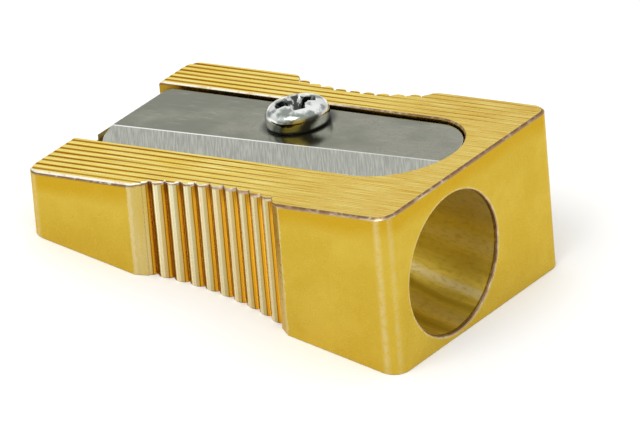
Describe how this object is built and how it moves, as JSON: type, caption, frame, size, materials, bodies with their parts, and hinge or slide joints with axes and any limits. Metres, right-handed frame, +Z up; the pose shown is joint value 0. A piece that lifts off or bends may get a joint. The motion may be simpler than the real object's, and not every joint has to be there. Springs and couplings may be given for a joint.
{
  "type": "hand pencil sharpener",
  "caption": "Hand-held brass wedge pencil sharpener with a tapered bore, ribbed grip hollows on its sides and a steel blade held in a sloping pocket by a screw.",
  "frame": {"origin": "under the middle of the body, on the surface it stands on", "axes": "+X towards the end where the pencil goes in, +Z up, and the cutting edge lies towards -Y of the middle"},
  "size_m": [0.0254, 0.0154, 0.0094],
  "materials": {
    "brass_body": "satin, with sawn lines on the sloping top",
    "blade_steel": "rolled flat, with a ground bevel",
    "screw_plating": "bright plated"
  },
  "bodies": {
    "housing": {"body": "brass_body"},
    "cutter": {"blade": "blade_steel"},
    "fastener": {"blade_screw": "screw_plating"}
  },
  "joints": [
    {"name": "blade_lift", "type": "slide", "parent": "housing", "child": "cutter", "axis": [-0.2243, 0, 0.9745], "range_m": [0, 0.004]},
    {"name": "screw_turn", "type": "hinge", "parent": "cutter", "child": "fastener", "pos_m": [-0.00142, 0.00241, 0.00625], "axis": [-0.2243, 0, 0.9745], "range_deg": [0, 3600]}
  ],
  "couplings": [
    {"joint": "screw_turn", "follows": "blade_lift", "rad_per_m": 15708}
  ]
}
